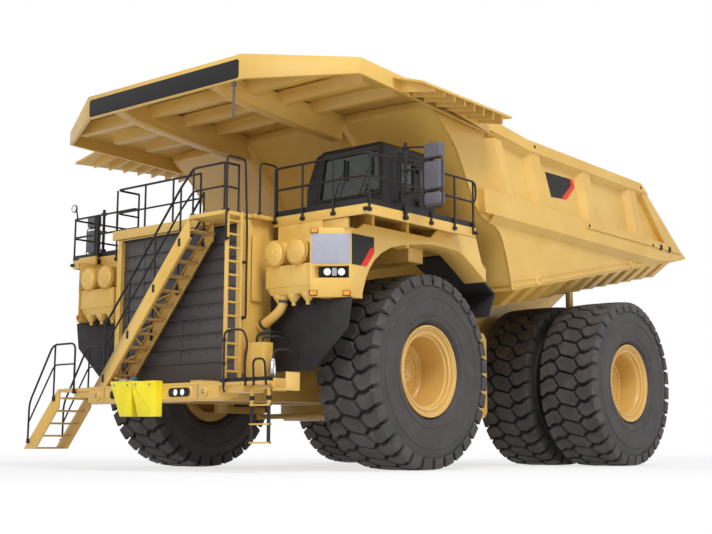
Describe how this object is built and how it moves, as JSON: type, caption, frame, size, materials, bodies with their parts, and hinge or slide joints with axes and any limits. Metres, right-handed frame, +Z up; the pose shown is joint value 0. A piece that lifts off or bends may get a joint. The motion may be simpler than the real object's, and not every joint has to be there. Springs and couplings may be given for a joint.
{
  "type": "mining haul dump truck",
  "caption": "Full-size rigid mining haul truck with a tipping body and canopy, steered front wheels, rear dual wheels, a railed deck with a side cab, hoist cylinders and boarding stairs.",
  "frame": {"origin": "centre of the bounding box in X and Y, on the ground under the tyres", "axes": "+X to the truck's left side, +Y to its rear, +Z up"},
  "size_m": [10.82, 15.8802, 8.1],
  "materials": {
    "yellow_paint": "satin",
    "gold_paint": "satin",
    "dark_paint": "matte",
    "black_paint": "satin",
    "chock_paint": "gloss",
    "tyre_rubber": "matte",
    "hoist_chrome": "polished",
    "window_glass": "tinted"
  },
  "bodies": {
    "chassis": {"front_strut_left": "gold_paint", "front_strut_right": "gold_paint", "frame": "gold_paint", "deck_support": "gold_paint", "engine": "gold_paint", "rear_axle": "gold_paint", "side_tank_left": "yellow_paint", "side_tank_right": "yellow_paint", "front_bumper": "yellow_paint", "main_stair": "yellow_paint", "front_ladder": "yellow_paint", "access_stair": "yellow_paint", "hanging_ladder": "dark_paint", "wheel_chocks": "chock_paint", "radiator": "dark_paint", "radiator_guard": "yellow_paint", "deck_centre": "yellow_paint", "deck_left": "yellow_paint", "deck_right": "yellow_paint", "fender_left": "yellow_paint", "fender_right": "yellow_paint", "wheel_panel_left": "dark_paint", "wheel_panel_right": "dark_paint", "air_cleaner_left": "yellow_paint", "air_cleaner_right": "yellow_paint", "cab_shell": "black_paint", "windshield": "window_glass", "side_glass": "window_glass", "handrail_left": "black_paint", "handrail_right": "black_paint", "handrail_centre": "black_paint"},
    "knuckle_left": {"knuckle_left": "gold_paint"},
    "knuckle_right": {"knuckle_right": "gold_paint"},
    "tie_rod": {"tie_rod": "gold_paint"},
    "front_wheel_left": {"front_tyre_left": "tyre_rubber", "front_rim_left": "gold_paint"},
    "front_wheel_right": {"front_tyre_right": "tyre_rubber", "front_rim_right": "gold_paint"},
    "rear_wheels_left": {"rear_tyre_outer_left": "tyre_rubber", "rear_tyre_inner_left": "tyre_rubber", "rear_rim_left": "gold_paint"},
    "rear_wheels_right": {"rear_tyre_outer_right": "tyre_rubber", "rear_tyre_inner_right": "tyre_rubber", "rear_rim_right": "gold_paint"},
    "dump_body": {"body_floor": "yellow_paint", "body_beams": "yellow_paint", "body_front_wall": "yellow_paint", "body_side_left": "yellow_paint", "body_side_right": "yellow_paint", "canopy": "yellow_paint"},
    "hoist_barrel_left": {"hoist_barrel_left": "yellow_paint"},
    "hoist_barrel_right": {"hoist_barrel_right": "yellow_paint"},
    "hoist_stage_left": {"hoist_stage_left": "hoist_chrome"},
    "hoist_stage_right": {"hoist_stage_right": "hoist_chrome"},
    "hoist_rod_left": {"hoist_rod_left": "hoist_chrome"},
    "hoist_rod_right": {"hoist_rod_right": "hoist_chrome"},
    "cab_door": {"cab_door": "black_paint", "door_glass": "window_glass"}
  },
  "joints": [
    {"name": "steer_left", "type": "hinge", "parent": "chassis", "child": "knuckle_left", "pos_m": [2.25, -3.61985, 2.015], "axis": [0, 0, 1], "range_deg": [-40, 40]},
    {"name": "steer_right", "type": "hinge", "parent": "chassis", "child": "knuckle_right", "pos_m": [-2.25, -3.61985, 2.015], "axis": [0, 0, 1], "range_deg": [-40, 40]},
    {"name": "tie_rod_swivel", "type": "hinge", "parent": "knuckle_left", "child": "tie_rod", "pos_m": [1.92, -2.66985, 1.18], "axis": [0, 0, 1], "range_deg": [-40, 40]},
    {"name": "front_roll_left", "type": "hinge", "parent": "knuckle_left", "child": "front_wheel_left", "pos_m": [3.267, -3.61985, 2.015], "axis": [1, 0, 0], "continuous": true},
    {"name": "front_roll_right", "type": "hinge", "parent": "knuckle_right", "child": "front_wheel_right", "pos_m": [-3.267, -3.61985, 2.015], "axis": [1, 0, 0], "continuous": true},
    {"name": "rear_roll_left", "type": "hinge", "parent": "chassis", "child": "rear_wheels_left", "pos_m": [3.116, 3.57515, 2.015], "axis": [1, 0, 0], "continuous": true},
    {"name": "rear_roll_right", "type": "hinge", "parent": "chassis", "child": "rear_wheels_right", "pos_m": [-3.116, 3.57515, 2.015], "axis": [1, 0, 0], "continuous": true},
    {"name": "body_tip", "type": "hinge", "parent": "chassis", "child": "dump_body", "pos_m": [0, 4.48015, 3.2], "axis": [-1, 0, 0], "range_deg": [0, 45]},
    {"name": "hoist_swing_left", "type": "hinge", "parent": "chassis", "child": "hoist_barrel_left", "pos_m": [1.215, 1.13015, 1.9], "axis": [-1, 0, 0], "range_deg": [0, 12.6]},
    {"name": "hoist_stage_slide_left", "type": "slide", "parent": "hoist_barrel_left", "child": "hoist_stage_left", "axis": [0, 0.2009, 0.9796], "range_m": [0, 1.113]},
    {"name": "hoist_rod_slide_left", "type": "slide", "parent": "hoist_stage_left", "child": "hoist_rod_left", "axis": [0, 0.2009, 0.9796], "range_m": [0, 1.113]},
    {"name": "hoist_swing_right", "type": "hinge", "parent": "chassis", "child": "hoist_barrel_right", "pos_m": [-1.215, 1.13015, 1.9], "axis": [-1, 0, 0], "range_deg": [0, 12.6]},
    {"name": "hoist_stage_slide_right", "type": "slide", "parent": "hoist_barrel_right", "child": "hoist_stage_right", "axis": [0, 0.2009, 0.9796], "range_m": [0, 1.113]},
    {"name": "hoist_rod_slide_right", "type": "slide", "parent": "hoist_stage_right", "child": "hoist_rod_right", "axis": [0, 0.2009, 0.9796], "range_m": [0, 1.113]},
    {"name": "cab_door_hinge", "type": "hinge", "parent": "chassis", "child": "cab_door", "pos_m": [3.955, -4.01985, 5.9], "axis": [0, 0, 1], "range_deg": [0, 90]}
  ],
  "couplings": [
    {"joint": "steer_right", "follows": "steer_left", "ratio": 1},
    {"joint": "tie_rod_swivel", "follows": "steer_left", "ratio": -1},
    {"joint": "hoist_swing_left", "follows": "body_tip", "ratio": 0.2789},
    {"joint": "hoist_stage_slide_left", "follows": "body_tip", "m_per_rad": 1.4156},
    {"joint": "hoist_rod_slide_left", "follows": "body_tip", "m_per_rad": 1.4156},
    {"joint": "hoist_swing_right", "follows": "body_tip", "ratio": 0.2789},
    {"joint": "hoist_stage_slide_right", "follows": "body_tip", "m_per_rad": 1.4156},
    {"joint": "hoist_rod_slide_right", "follows": "body_tip", "m_per_rad": 1.4156}
  ]
}
